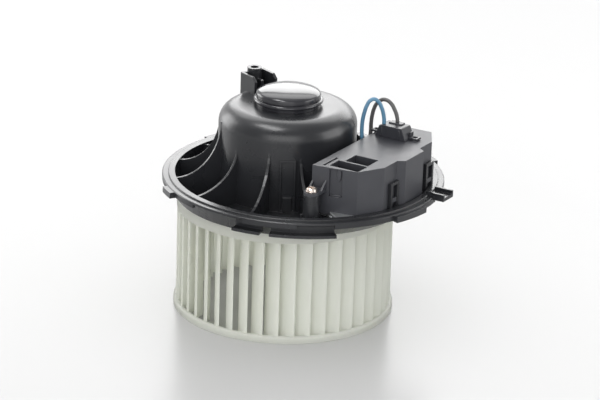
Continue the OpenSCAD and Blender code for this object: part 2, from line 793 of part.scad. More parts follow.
// Ear of the cover round a screw, with two gussets up the cover's end
module cover_ear(p, side) {
    foot = side > 0 ? cover_half - 9 : cover_half - 2.8;
    long = abs(p[1]) - foot;
    ear_r = boss_d / 2 - 0.2;
    translate([p[0], p[1], ear_z]) cylinder(r = ear_r, h = ear_t);
    translate([p[0] - ear_r, side > 0 ? foot : p[1], ear_z]) cube([2 * ear_r, long, ear_t]);
    for (x = [-ear_r, ear_r - 1.4]) translate([p[0] + x + 1.4, 0, 0]) rotate([90, 0, -90])
        linear_extrude(height = 1.4)
            polygon([[-side * foot, ear_z], [-side * (foot + long * 0.8), ear_z], [-side * foot, ear_z + 9]]);
}

module module_cover() color("#3a3b40") flange_frame() {
    difference() {
        union() {
            difference() {
                translate([0, 0, sink_z]) linear_extrude(height = cover_h) cover_plan(0);
                translate([0, 0, sink_z - 1]) linear_extrude(height = cover_h + 1 - cover_wall)
                    cover_plan(cover_wall);
            }
            // Walls of the socket below the top
            intersection() {
                for (c = cavities) translate([c[0] - 1.4, c[1] - 1.4, cover_z - socket_deep - 1.5])
                    cube([c[2] + 2.8, c[3] + 2.8, socket_deep + 1]);
                translate([0, 0, sink_z]) linear_extrude(height = cover_h) cover_plan(cover_wall / 2);
            }
            cover_ear(screw_at[0], -1);
            cover_ear(screw_at[1], 1);
            // Nubs that the snap loops catch
            for (y = loop_at) translate([cover_out - 1, y - 2.6, skirt_z + 8]) cube([1 + 2.2, 5.2, 3]);
        }
        for (c = cavities) translate([c[0], c[1], cover_z - socket_deep]) cube([c[2], c[3], socket_deep + 1]);
        for (p = pins) translate([p[0] - seat_gap, p[1] - seat_gap, sink_z])
            cube([p[2] + 2 * seat_gap, p[3] + 2 * seat_gap, cover_h - socket_deep + 1]);
        for (h = header_at) translate([h[0] - seat_gap, h[1] - seat_gap, sink_z])
            cube([header_w + 2 * seat_gap, 0.8 + 2 * seat_gap, cover_h + 1]);
        // Slit and latch window beside the socket
        translate([cavities[0][0] - 4, cavities[0][1] - 2, cover_z - 6]) cube([1.6, 18, 7]);
        translate([cavities[0][0] + 2.5, -cover_half - 1, cover_z - 20]) cube([9, 8, 19]);
        for (p = screw_at) translate([p[0], p[1], ear_z - 1])
            cylinder(r = screw_d / 2 + 2 * seat_gap, h = ear_t + 2);
        // Access round the screw heads
        for (p = screw_at) translate([p[0], p[1], ear_z + ear_t]) cylinder(r = head_d / 2 + 0.8, h = 30);
    }
}

module heat_sink() color("#c4c6c8") flange_frame() {
    plate_z = sink_top - sink_t;
    pitch = 2 * fin_half / (fin_count - 1);
    difference() {
        union() {
            translate([0, 0, plate_z]) linear_extrude(height = sink_t) cover_plan(cover_wall + 2 * seat_gap);
            // Tongue that shows below the end of the cover
            translate([0, 0, plate_z]) linear_extrude(height = sink_z - plate_z - seat_gap)
                polygon([[50, -cover_half + 4], [56, -cover_half - 1.5], [64.5, -cover_half + 1],
                    [70, -cover_half + 7]]);
            for (i = [0 : fin_count - 1]) translate([fin_in, -fin_half + i * pitch - 0.9, plate_z - fin_h])
                cube([fin_out - fin_in, 1.8, fin_h + 0.1]);
            for (p = pads) translate([p[0], p[1], sink_top - 0.1])
                cylinder(r = 2.5, h = board_z - sink_top + 0.1);
        }
        for (p = screw_at) translate([p[0], p[1], plate_z - 1])
            cylinder(r = boss_d / 2 + 0.4, h = sink_t + 2);
    }
}

module circuit_board() color("#2f5d3a") flange_frame() {
    translate([0, 0, board_z]) linear_extrude(height = board_t) intersection() {
        cover_plan(cover_wall + 0.5);
        translate([cover_in, -48]) square([60, 92]);
    }
}

module power_transistors() color("#1d1d1f") flange_frame() {
    for (y = [-14, 6]) translate([56, y, sink_top]) cube([14, 10, board_z - sink_top - seat_gap]);
}

module buffer_capacitor() color("#30343c") flange_frame() {
    translate([63, -6, board_z + board_t]) difference() {
        cylinder(r = 5, h = 16);
        translate([0, 0, 2.4]) ring(6, 4.6, 0.8);
    }
}

module socket_pins() color("#c9b37a") flange_frame() {
    for (p = pins) translate([p[0], p[1], board_z + board_t])
        cube([p[2], p[3], cover_z - pin_low - board_z - board_t]);
}

module header_pins() color("#c9b37a") flange_frame() {
    for (h = header_at) translate([h[0], h[1], board_z + board_t])
        cube([header_w, 0.8, cover_z + plug_h / 2 - board_z - board_t]);
}

module module_screws() color("#c8bfae") flange_frame() {
    for (p = screw_at) translate([p[0], p[1], ear_z + ear_t]) {
        intersection() {
            cylinder(r = head_d / 2, h = 2.8);
            translate([0, 0, 2.8 - head_d]) sphere(r = head_d);
        }
        translate([0, 0, -12]) cylinder(r = screw_d / 2, h = 12.1);
    }
}

module lead_plug() color("#1f2022") flange_frame() {
    translate([plug_at[0], plug_at[1], cover_z]) difference() {
        union() {
            cube([plug_len, plug_deep, plug_h * 0.6]);
            translate([1.5, 1, 0]) cube([plug_len - 3, plug_deep - 1, plug_h]);
            for (x = [-6, plug_len - 0.1]) translate([x, plug_deep - 7, 0.4]) difference() {
                cube([6.1, 6, 2.4]);
                translate([1.4, 1.4, -1]) cube([3.2, 3.2, 5]);
            }
        }
        for (h = header_at) translate([h[0] - plug_at[0] - seat_gap, h[1] - plug_at[1] - seat_gap, -1])
            cube([header_w + 2 * seat_gap, 0.8 + 2 * seat_gap, plug_h / 2 + 1 + seat_gap]);
    }
}

module lead_grommet() color("#1b1b1c") {
    rotate([0, 0, lead_aim]) translate([dome_r, 0, lead_z]) rotate([0, 90, 0]) difference() {
        union() {
            translate([0, 0, -wall - 1.4]) cylinder(r = grommet_r - seat_gap, h = wall + 2);
            translate([0, 0, 0.3]) cylinder(r = grommet_r + 1.2, h = 1.6);
        }
        for (y = [-lead_y, lead_y]) translate([0, y, -8]) cylinder(r = lead_d / 2 + 0.3, h = 16);
    }
}

// Leads

// Ring of points round a route's point, square to the route
function ring_at(p, way, r, n) =
    let (side = cross(way, [0.31, 0.95, 0.05]) / norm(cross(way, [0.31, 0.95, 0.05])), up = cross(side, way))
    [for (k = [0 : n - 1]) p + r * (side * cos(360 * k / n) + up * sin(360 * k / n))];

function unit(v) = v / norm(v);

module lead(route) {
    n = 8;
    last = len(route) - 1;
    rings = [for (i = [0 : last]) ring_at(route[i],
        unit(route[min(i + 1, last)] - route[max(i - 1, 0)]), lead_d / 2, n)];
    points = [for (r = rings) for (p = r) p];
    sides = [for (i = [0 : last - 1]) for (k = [0 : n - 1])
        [i * n + k, i * n + (k + 1) % n, (i + 1) * n + (k + 1) % n, (i + 1) * n + k]];
    ends = [[for (k = [n - 1 : -1 : 0]) k], [for (k = [0 : n - 1]) last * n + k]];
    polyhedron(points = points, faces = concat(sides, ends), convexity = 6);
}

module blue_lead() color("#4f86a8") lead(blue_route);

module grey_lead() color("#4a4846") lead(grey_route);

flange_housing();
dome_cap();
fan_wheel();
fan_nut();
motor_shaft();
armature_core();
armature_windings();
commutator();
thrust_washers();
motor_can();
magnets();
motor_end_plate();
upper_bearing();
lower_bearing();
bearing_clips();
brush_card();
brush_boxes();
brush_left();
brush_right();
brush_spring_left();
brush_spring_right();
suppressor_chokes();
damper_rings();
motor_retainer();
motor_screws();
module_cover();
heat_sink();
circuit_board();
power_transistors();
buffer_capacitor();
socket_pins();
header_pins();
module_screws();
lead_plug();
lead_grommet();
blue_lead();
grey_lead();
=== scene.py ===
import math

import bmesh
import bpy
from mathutils import Matrix, Vector


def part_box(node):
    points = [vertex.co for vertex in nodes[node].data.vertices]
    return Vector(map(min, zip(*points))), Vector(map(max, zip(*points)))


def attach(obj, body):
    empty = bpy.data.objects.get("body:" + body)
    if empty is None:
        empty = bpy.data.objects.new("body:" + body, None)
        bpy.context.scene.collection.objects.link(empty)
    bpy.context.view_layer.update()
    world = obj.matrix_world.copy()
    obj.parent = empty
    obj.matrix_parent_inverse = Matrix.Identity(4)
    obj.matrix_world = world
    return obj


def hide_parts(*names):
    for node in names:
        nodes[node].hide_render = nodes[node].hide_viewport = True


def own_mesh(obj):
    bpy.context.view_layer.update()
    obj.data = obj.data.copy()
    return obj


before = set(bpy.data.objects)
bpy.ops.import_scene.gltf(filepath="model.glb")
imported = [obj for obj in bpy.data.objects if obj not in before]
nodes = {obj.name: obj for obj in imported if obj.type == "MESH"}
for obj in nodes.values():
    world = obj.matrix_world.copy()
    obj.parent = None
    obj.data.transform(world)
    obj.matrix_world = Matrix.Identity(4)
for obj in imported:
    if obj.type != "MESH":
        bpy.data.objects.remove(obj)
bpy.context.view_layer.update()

mm = 0.001  # sizes below are in millimetres, meshes in metres
print("frame loaded:", len(nodes), "nodes")


def srgb(text):
    values = [int(text[i:i + 2], 16) / 255 for i in (1, 3, 5)]
    return [v / 12.92 if v <= 0.04045 else ((v + 0.055) / 1.055) ** 2.4 for v in values] + [1.0]


def addNode(tree, kind, settings=None, links=None):
    # settings go to the node's own fields, its sockets or the stops of its ramp,
    # links are {socket: (node, output)}
    node = tree.nodes.new(kind)
    for key, value in (settings or {}).items():
        if key == "stops":
            for element, (at, colour) in zip(node.color_ramp.elements, value):
                element.position, element.color = at, srgb(colour)
        elif isinstance(key, str) and hasattr(node, key) and key not in node.inputs:
            setattr(node, key, value)
        else:
            node.inputs[key].default_value = value
    for key, (source, output) in (links or {}).items():
        tree.links.new(source.outputs[output], node.inputs[key])
    return node


def newMaterial(name):
    material = bpy.data.materials.new(name)
    material.use_nodes = True
    tree = material.node_tree
    tree.nodes.clear()
    return material, tree, addNode(tree, "ShaderNodeTexCoord")


# Shared by the finishes: the part of the noise over which colour and gloss change, and the depth of the
# grain as a share of its width
plastic = {"ior": 1.5, "specular": 0.5, "colourSpan": (0.3, 0.72), "glossSpan": (0.3, 0.75),
    "grainDepth": 0.25}
metal = {"span": (0.3, 0.7), "grainDepth": 0.2, "edgeMm": 0.25}


# A moulded plastic: flow marks in the colour, gloss that drifts with them, grain of the tool's surface,
# and edges that the bevel rounds off for the light
def mouldedPlastic(name, look):
    material, tree, place = newMaterial(name)
    colourSpan, glossSpan = plastic["colourSpan"], plastic["glossSpan"]
    flow = addNode(tree, "ShaderNodeTexNoise", {"Scale": look["flowPerMetre"], "Detail": 3.0,
        "Roughness": 0.55, "Distortion": 0.6}, {"Vector": (place, "Object")})
    colour = addNode(tree, "ShaderNodeValToRGB",
        {"stops": [(colourSpan[0], look["dark"]), (colourSpan[1], look["light"])]}, {"Fac": (flow, "Fac")})
    drift = addNode(tree, "ShaderNodeMapRange", {"From Min": glossSpan[0], "From Max": glossSpan[1],
        "To Min": look["gloss"][0], "To Max": look["gloss"][1]}, {"Value": (flow, "Fac")})
    grain = addNode(tree, "ShaderNodeTexNoise", {"Scale": 1 / (look["grainMm"] * mm), "Detail": 2.0,
        "Roughness": 0.6}, {"Vector": (place, "Object")})
    soft = addNode(tree, "ShaderNodeBevel", {"samples": 4, "Radius": look["edgeMm"] * mm})
    bump = addNode(tree, "ShaderNodeBump",
        {"Strength": look["bump"], "Distance": look["grainMm"] * mm * plastic["grainDepth"]},
        {"Height": (grain, "Fac"), "Normal": (soft, "Normal")})
    shader = addNode(tree, "ShaderNodeBsdfPrincipled",
        {"IOR": plastic["ior"], "Specular IOR Level": plastic["specular"]},
        {"Base Color": (colour, "Color"), "Roughness": (drift, "Result"), "Normal": (bump, "Normal")})
    if "through" in look:
        # thin walls glow with the light behind them
        behind = addNode(tree, "ShaderNodeBsdfTranslucent", None,
            {"Color": (colour, "Color"), "Normal": (bump, "Normal")})
        shader = addNode(tree, "ShaderNodeMixShader", {0: look["through"]}, {1: (shader, 0), 2: (behind, 0)})
    addNode(tree, "ShaderNodeOutputMaterial", None, {"Surface": (shader, 0)})
    return material


# A metal: lay of the rolling or turning, stretched along one axis, and dull patches
def workedMetal(name, look):
    material, tree, place = newMaterial(name)
    span = metal["span"]
    lay = addNode(tree, "ShaderNodeMapping", {"Scale": look["stretch"]}, {"Vector": (place, "Object")})
    lines = addNode(tree, "ShaderNodeTexNoise", {"Scale": 1 / (look["grainMm"] * mm), "Detail": 3.0,
        "Roughness": 0.6}, {"Vector": (lay, "Vector")})
    patches = addNode(tree, "ShaderNodeTexNoise", {"Scale": look["patchPerMetre"], "Detail": 3.0},
        {"Vector": (place, "Object")})
    colour = addNode(tree, "ShaderNodeValToRGB",
        {"stops": [(span[0], look["dark"]), (span[1], look["light"])]}, {"Fac": (patches, "Fac")})
    gloss = addNode(tree, "ShaderNodeMapRange", {"From Min": span[0], "From Max": span[1],
        "To Min": look["gloss"][0], "To Max": look["gloss"][1]}, {"Value": (lines, "Fac")})
    soft = addNode(tree, "ShaderNodeBevel", {"samples": 4, "Radius": metal["edgeMm"] * mm})
    bump = addNode(tree, "ShaderNodeBump",
        {"Strength": look["bump"], "Distance": look["grainMm"] * mm * metal["grainDepth"]},
        {"Height": (lines, "Fac"), "Normal": (soft, "Normal")})
    shader = addNode(tree, "ShaderNodeBsdfPrincipled", {"Metallic": 1.0},
        {"Base Color": (colour, "Color"), "Roughness": (gloss, "Result"), "Normal": (bump, "Normal")})
    addNode(tree, "ShaderNodeOutputMaterial", None, {"Surface": (shader, 0)})
    return material


# In the looks, gloss is the range of the roughness, grainMm the width of the grain. Real grain of about
# 0.05 to 0.1 mm would not show at this distance, so it is drawn coarser.

# Talc-filled polypropylene, black and moulded in a polished tool: deep colour, long soft reflections
housingLook = {"dark": "#222326", "light": "#2a2b2e", "gloss": (0.24, 0.34), "flowPerMetre": 22,
    "grainMm": 0.5, "bump": 0.05, "edgeMm": 0.55}
housingBlack = mouldedPlastic("polypropyleneTalcBlack", housingLook)

# Acrylonitrile butadiene styrene (ABS) of the cap, moulded: the glossiest piece
capLook = {"dark": "#2a2a2e", "light": "#313136", "gloss": (0.1, 0.16), "flowPerMetre": 18,
    "grainMm": 0.8, "bump": 0.03, "edgeMm": 0.5}
capBlack = mouldedPlastic("absGlossBlack", capLook)

# Glass-filled nylon (PA66) of the controller's cover: satin, with a fine spark-eroded grain
coverLook = {"dark": "#36373c", "light": "#3f4045", "gloss": (0.38, 0.5), "flowPerMetre": 30,
    "grainMm": 0.35, "bump": 0.12, "edgeMm": 0.45}
coverSatin = mouldedPlastic("glassNylonSatin", coverLook)

# Unfilled nylon of the plug, moulded: darker than the cover and a little smoother
plugLook = {"dark": "#2b2c31", "light": "#34353a", "gloss": (0.3, 0.42), "flowPerMetre": 45,
    "grainMm": 0.3, "bump": 0.08, "edgeMm": 0.3}
plugBlack = mouldedPlastic("nylonPlugBlack", plugLook)

# Natural polypropylene of the wheel, moulded: milky, lets light through its thin blades
wheelLook = {"dark": "#f6f7f1", "light": "#fafbf7", "gloss": (0.26, 0.36), "flowPerMetre": 16,
    "grainMm": 0.7, "bump": 0.04, "edgeMm": 0.2, "through": 0.65}
wheelNatural = mouldedPlastic("polypropyleneNatural", wheelLook)

# Extruded vinyl (PVC) of the leads with a soft sheen: the grey of even colour, the blue with a wider flow of
# tone
# The blue's dark stop is partly painted shade: it is set deep to stand in for the shade on the lead's shaded
# leg, and the flow noise lays it in random patches along the lead
blueLookWithPaintedShade = {"dark": "#4c7591", "light": "#6492b0", "gloss": (0.32, 0.42), "flowPerMetre": 60,
    "grainMm": 0.4, "bump": 0.06, "edgeMm": 0.1}
greyLook = {"dark": "#504f4f", "light": "#605f5f", "gloss": (0.34, 0.46), "flowPerMetre": 60,
    "grainMm": 0.4, "bump": 0.06, "edgeMm": 0.1}
blueVinyl = mouldedPlastic("vinylBlue", blueLookWithPaintedShade)
greyVinyl = mouldedPlastic("vinylGrey", greyLook)

# Nitrile rubber of the grommet and the damper rings, pressed in a mould: dull black
rubberLook = {"dark": "#131314", "light": "#1b1b1b", "gloss": (0.6, 0.75), "flowPerMetre": 40,
    "grainMm": 0.25, "bump": 0.2, "edgeMm": 0.4}
rubberBlack = mouldedPlastic("nitrileRubber", rubberLook)

# Natural nylon of the thrust washers, moulded: ivory with a faint gloss
washerLook = {"dark": "#cfc8b0", "light": "#dcd6c2", "gloss": (0.35, 0.45), "flowPerMetre": 60,
    "grainMm": 0.3, "bump": 0.05, "edgeMm": 0.2}
washerNylon = mouldedPlastic("nylonNatural", washerLook)

# Pressed paper laminate of the brush card: brown and speckled
cardLook = {"dark": "#5a4526", "light": "#6d5733", "gloss": (0.45, 0.6), "flowPerMetre": 200,
    "grainMm": 0.4, "bump": 0.15, "edgeMm": 0.1}
cardLaminate = mouldedPlastic("paperLaminate", cardLook)

# Glass laminate under solder mask: green with a wet gloss
boardLook = {"dark": "#1d4a2b", "light": "#275a36", "gloss": (0.25, 0.35), "flowPerMetre": 160,
    "grainMm": 0.5, "bump": 0.08, "edgeMm": 0.1}
boardGreen = mouldedPlastic("solderMaskGreen", boardLook)

# Epoxy of the transistor packages, moulded: matt black
packageLook = {"dark": "#18181a", "light": "#212123", "gloss": (0.45, 0.6), "flowPerMetre": 120,
    "grainMm": 0.2, "bump": 0.15, "edgeMm": 0.2}
packageBlack = mouldedPlastic("epoxyPackage", packageLook)

# Polyester sleeve shrunk on the capacitor: dark, smooth and tight
sleeveLook = {"dark": "#20242c", "light": "#2b3039", "gloss": (0.2, 0.3), "flowPerMetre": 60,
    "grainMm": 0.6, "bump": 0.05, "edgeMm": 0.3}
sleeveDark = mouldedPlastic("shrunkSleeve", sleeveLook)

# Sintered ferrite of the magnets and chokes: charcoal, dull and grainy
ferriteLook = {"dark": "#2c2c2e", "light": "#3a3a3c", "gloss": (0.5, 0.7), "flowPerMetre": 150,
    "grainMm": 0.15, "bump": 0.3, "edgeMm": 0.2}
ferriteGrey = mouldedPlastic("sinteredFerrite", ferriteLook)

# Pressed carbon of the brushes: near black, dull, fine grain
carbonLook = {"dark": "#1c1c1e", "light": "#29292b", "gloss": (0.5, 0.65), "flowPerMetre": 260,
    "grainMm": 0.15, "bump": 0.25, "edgeMm": 0.1}
carbonBlack = mouldedPlastic("pressedCarbon", carbonLook)

# Zinc-plated steel of the screws, plated in a barrel: warm and pale, with uneven gloss
zincLook = {"dark": "#cbb9ae", "light": "#e6ddd4", "gloss": (0.22, 0.36), "grainMm": 0.3,
    "stretch": (1, 1, 1), "patchPerMetre": 220, "bump": 0.1}
zincSteel = workedMetal("zincPlatedSteel", zincLook)

# Plated steel of the can and its end plate, deep drawn: faint lines along the draw
canLook = {"dark": "#9c9fa2", "light": "#b6b9bb", "gloss": (0.28, 0.42), "grainMm": 0.25,
    "stretch": (1, 1, 0.05), "patchPerMetre": 60, "bump": 0.1}
canSteel = workedMetal("drawnPlatedSteel", canLook)

# Ground steel of the shaft: bright, with fine rings round it
shaftLook = {"dark": "#c4c6c9", "light": "#d6d8da", "gloss": (0.12, 0.22), "grainMm": 0.15,
    "stretch": (0.1, 0.1, 3), "patchPerMetre": 60, "bump": 0.05}
shaftSteel = workedMetal("groundShaftSteel", shaftLook)

# Spring steel of clips, nut and springs, rolled and hardened: bright and even
springLook = {"dark": "#a9acb0", "light": "#c4c7ca", "gloss": (0.22, 0.34), "grainMm": 0.15,
    "stretch": (1, 1, 1), "patchPerMetre": 200, "bump": 0.05}
springSteel = workedMetal("springSteel", springLook)

# Electrical steel of the core, punched and stacked: the edges of its sheets show as level lines
coreLook = {"dark": "#6d7074", "light": "#8f9296", "gloss": (0.35, 0.5), "grainMm": 0.35,
    "stretch": (0.02, 0.02, 1), "patchPerMetre": 90, "bump": 0.5}
coreSteel = workedMetal("stackedLaminations", coreLook)

# Cast aluminium of the heat sink, bare: pale satin grey
sinkLook = {"dark": "#b9bbbd", "light": "#d2d4d5", "gloss": (0.36, 0.52), "grainMm": 0.4,
    "stretch": (1, 1, 1), "patchPerMetre": 70, "bump": 0.2}
sinkAluminium = workedMetal("castAluminium", sinkLook)

# Enamelled copper of the windings, also on the commutator: warm, with lines along the wires
copperLook = {"dark": "#a85a30", "light": "#c97a48", "gloss": (0.2, 0.32), "grainMm": 0.5,
    "stretch": (1, 1, 0.1), "patchPerMetre": 120, "bump": 0.4}
copperWire = workedMetal("enamelledCopper", copperLook)

# Brass of the brush boxes and pins, stamped: yellow and clean
brassLook = {"dark": "#b8974c", "light": "#d2b46a", "gloss": (0.2, 0.34), "grainMm": 0.2,
    "stretch": (1, 1, 1), "patchPerMetre": 150, "bump": 0.06}
stampedBrass = workedMetal("stampedBrass", brassLook)

# Sintered bronze of the bushes, soaked in oil: brown, porous and dull
bushLook = {"dark": "#7d6040", "light": "#9c7a50", "gloss": (0.4, 0.55), "grainMm": 0.1,
    "stretch": (1, 1, 1), "patchPerMetre": 300, "bump": 0.3}
bushBronze = workedMetal("sinteredBronze", bushLook)

dressed = {
    "flange_housing": housingBlack, "motor_retainer": housingBlack, "dome_cap": capBlack,
    "module_cover": coverSatin, "lead_plug": plugBlack, "fan_wheel": wheelNatural,
    "blue_lead": blueVinyl, "grey_lead": greyVinyl, "lead_grommet": rubberBlack,
    "damper_rings": rubberBlack, "thrust_washers": washerNylon, "brush_card": cardLaminate,
    "circuit_board": boardGreen, "power_transistors": packageBlack, "buffer_capacitor": sleeveDark,
    "magnets": ferriteGrey, "suppressor_chokes": ferriteGrey, "brush_left": carbonBlack,
    "brush_right": carbonBlack, "module_screws": zincSteel, "motor_screws": zincSteel,
    "motor_can": canSteel, "motor_end_plate": canSteel, "motor_shaft": shaftSteel,
    "fan_nut": springSteel, "bearing_clips": springSteel, "brush_spring_left": springSteel,
    "brush_spring_right": springSteel, "armature_core": coreSteel, "heat_sink": sinkAluminium,
    "armature_windings": copperWire, "commutator": copperWire, "brush_boxes": stampedBrass,
    "socket_pins": stampedBrass, "header_pins": stampedBrass, "upper_bearing": bushBronze,
    "lower_bearing": bushBronze,
}
for name, piece in nodes.items():
    piece.data.materials.clear()
    piece.data.materials.append(dressed[name])
print("materials set on", len(nodes), "nodes")


def smoothByAngle(mesh, degrees):
    mesh.polygons.foreach_set("use_smooth", [True] * len(mesh.polygons))
    mesh.set_sharp_from_angle(angle=math.radians(degrees))


def meshPiece(name, verts, faces, material, smoothDeg=35):
    mesh = bpy.data.meshes.new(name)
    mesh.from_pydata([Vector(v) * mm for v in verts], [], faces)
    bm = bmesh.new()
    bm.from_mesh(mesh)
    bmesh.ops.remove_doubles(bm, verts=bm.verts, dist=1e-6)
    bmesh.ops.recalc_face_normals(bm, faces=bm.faces)
    bm.to_mesh(mesh)
    bm.free()
    piece = bpy.data.objects.new(name, mesh)
    bpy.context.scene.collection.objects.link(piece)
    mesh.materials.append(material)
    smoothByAngle(mesh, smoothDeg)
    return piece


# Closed outline of (radius, height) turned about the fan axis. Waves, where given, are one for each point
# of the outline: its radius swells and shrinks by that share, lobes times a turn.
def turnedMesh(outline, steps, waves=None, lobes=6):
    verts, faces = [], []
    for k in range(steps):
        turn = 2 * math.pi * k / steps
        for i, (r, z) in enumerate(outline):
            wave = 1 + waves[i] * math.cos(lobes * turn) if waves else 1
            verts.append((r * wave * math.cos(turn), r * wave * math.sin(turn), z))
    n = len(outline)
    for k in range(steps):
        here, ahead = k * n, ((k + 1) % steps) * n
        for i in range(n):
            j = (i + 1) % n
            faces.append((here + i, ahead + i, ahead + j, here + j))
    return verts, faces


# Each corner of a closed outline becomes a short arc, which takes at most 45% of the sides next to it
def roundCorners(outline, radius, steps=3):
    rounded = []
    for i, point in enumerate(outline):
        here, before, after = Vector(point), Vector(outline[i - 1]), Vector(outline[(i + 1) % len(outline)])
        toBefore, toAfter = before - here, after - here
        cut = min(radius, 0.45 * toBefore.length, 0.45 * toAfter.length)
        start, end = here + toBefore.normalized() * cut, here + toAfter.normalized() * cut
        for step in range(steps + 1):
            t = step / steps
            rounded.append(tuple(start * (1 - t) ** 2 + here * 2 * t * (1 - t) + end * t ** 2))
    return rounded


# The flange's own frame: its centre lies off the fan axis, and its X points to the controller
flange = {"aim": -31.3, "offset": 13.6}


def flangePlace(x, y, z):
    aim = math.radians(flange["aim"])
    out = flange["offset"] + x
    return (out * math.cos(aim) - y * math.sin(aim), out * math.sin(aim) + y * math.cos(aim), z)


# Prism of an outline between two levels; place turns its three numbers into the part's frame
def slab(outline, low, high, place, hole=None):
    loops = [outline] + ([hole] if hole else [])
    verts = [place(u, v, w) for points in loops for w in (low, high) for u, v in points]
    n, faces = len(outline), []
    for k in range(len(loops)):
        for i in range(n):
            j = (i + 1) % n
            faces.append((2 * k * n + i, 2 * k * n + j, (2 * k + 1) * n + j, (2 * k + 1) * n + i))
    if hole:
        for end in (0, 1):
            for i in range(n):
                j = (i + 1) % n
                faces.append((end * n + i, end * n + j, (end + 2) * n + j, (end + 2) * n + i))
    else:
        faces += [tuple(range(n)), tuple(range(n, 2 * n))]
    return verts, faces


def joinMeshes(parts):
    verts, faces = [], []
    for moreVerts, moreFaces in parts:
        faces += [tuple(i + len(verts) for i in face) for face in moreFaces]
        verts += moreVerts
    return verts, faces


def roundEdges(piece, width, segments=2):
    bevel = piece.modifiers.new("edge", "BEVEL")
    bevel.width = width * mm
    bevel.segments = segments
    bevel.limit_method = "ANGLE"
    bevel.angle_limit = math.radians(35)


def rectangle(x0, y0, x1, y1):
    return [(x0, y0), (x1, y0), (x1, y1), (x0, y1)]


# Every tree has the geometry and its finish as inputs, and the named ones of its own
def geometryTree(name, sockets):
    tree = bpy.data.node_groups.new(name, "GeometryNodeTree")
    tree.interface.new_socket("Geometry", in_out="OUTPUT", socket_type="NodeSocketGeometry")
    tree.interface.new_socket("Geometry", in_out="INPUT", socket_type="NodeSocketGeometry")
    for label, kind in sockets + [("Finish", "NodeSocketMaterial")]:
        tree.interface.new_socket(label, in_out="INPUT", socket_type=kind)
    return tree, addNode(tree, "NodeGroupInput")


def endTree(tree, given, source):
    real = addNode(tree, "GeometryNodeRealizeInstances", None, {"Geometry": (source, 0)})
    paint = addNode(tree, "GeometryNodeSetMaterial", None,
        {"Geometry": (real, 0), "Material": (given, "Finish")})
    addNode(tree, "NodeGroupOutput", None, {"Geometry": (paint, 0)})


# Runs the tree on the holder and keeps the result as a plain mesh piece
def runTree(holder, tree, values, name, smoothDeg=35):
    modifier = holder.modifiers.new("tree", "NODES")
    modifier.node_group = tree
    for item in tree.interface.items_tree:
        if item.in_out == "INPUT" and item.name in values:
            modifier[item.identifier] = values[item.name]
    bpy.context.view_layer.update()
    ready = holder.evaluated_get(bpy.context.evaluated_depsgraph_get())
    mesh = bpy.data.meshes.new_from_object(ready)
    mesh.name = name
    bpy.data.objects.remove(holder)
    piece = bpy.data.objects.new(name, mesh)
    bpy.context.scene.collection.objects.link(piece)
    smoothByAngle(mesh, smoothDeg)
    return piece


# Fan wheel: forward-curved blades between a lip ring and a band, on a cone that falls to the hub.
# The blades are arcs: curve is their radius, chord what they span, and nose rounds their inner end, as
# (angle ahead of the side, share of half the thickness).
wheel = {"blades": 43, "outerR": 75.0, "innerR": 63.0, "height": 79.5, "wall": 1.8, "corner": 0.5,
    "steps": 180, "lipR": 76.4, "lipH": 5.0, "bandZ": 72.0, "coneMid": (46, 62), "coneLow": (26, 51),
    "coneFoot": 8, "hubR": 9.5, "hubZ": 40.0, "hubLen": 18.0, "boreR": 4.02,
    "bladeOut": 74.7, "bladeT": 1.4, "bladeLow": 0.8, "bladeSteps": [24, 48], "chord": 16.0, "curve": 16.0,
    "arcs": 9, "arcStart": 0.045, "arcShare": 0.93, "nose": [(0.026, -0.75), (0.036, 0), (0.026, 0.75)]}


def bladeMesh():
    innerR, outerR, chord, curve = wheel["innerR"], wheel["outerR"], wheel["chord"], wheel["curve"]
    lean = math.acos((innerR ** 2 + outerR ** 2 - chord ** 2) / (2 * innerR * outerR))
    inner = Vector((innerR, 0))
    outer = Vector((math.cos(lean), math.sin(lean))) * outerR
    way = (outer - inner) / chord
    left = Vector((-way.y, way.x))
    centre = (inner + outer) / 2 + left * math.sqrt(curve ** 2 - chord ** 2 / 4)
    first = math.atan2(inner.y - centre.y, inner.x - centre.x)
    last = math.atan2(outer.y - centre.y, outer.x - centre.x)
    if last < first:
        last += 2 * math.pi
    half, arcs = wheel["bladeT"] / 2, wheel["arcs"]
    angles = [first + (last - first) * (wheel["arcStart"] + wheel["arcShare"] * i / arcs)
        for i in range(arcs + 1)]
    ring = [(angle, curve + half) for angle in angles]
    ring += [(angle, curve - half) for angle in reversed(angles)]
    ring += [(angles[0] - ahead, curve + half * share) for ahead, share in wheel["nose"]]
    flat = []
    for angle, radius in ring:
        x, y = centre.x + math.cos(angle) * radius, centre.y + math.sin(angle) * radius
        # no point leaves the ring between the wheel's radii
        r = math.hypot(x, y)
        keep = min(max(r, innerR), wheel["bladeOut"]) / r
        flat.append((x * keep, y * keep))
    n = len(flat)
    levels = [wheel["bladeLow"], wheel["bladeLow"] + 0.4] + wheel["bladeSteps"] + [wheel["bandZ"] + 0.3]
    verts = [(x, y, z) for z in levels for x, y in flat]
    faces = [(j * n + i, j * n + (i + 1) % n, (j + 1) * n + (i + 1) % n, (j + 1) * n + i)
        for j in range(len(levels) - 1) for i in range(n)]
    faces += [tuple(reversed(range(n))), tuple(range((len(levels) - 1) * n, len(levels) * n))]
    return verts, faces


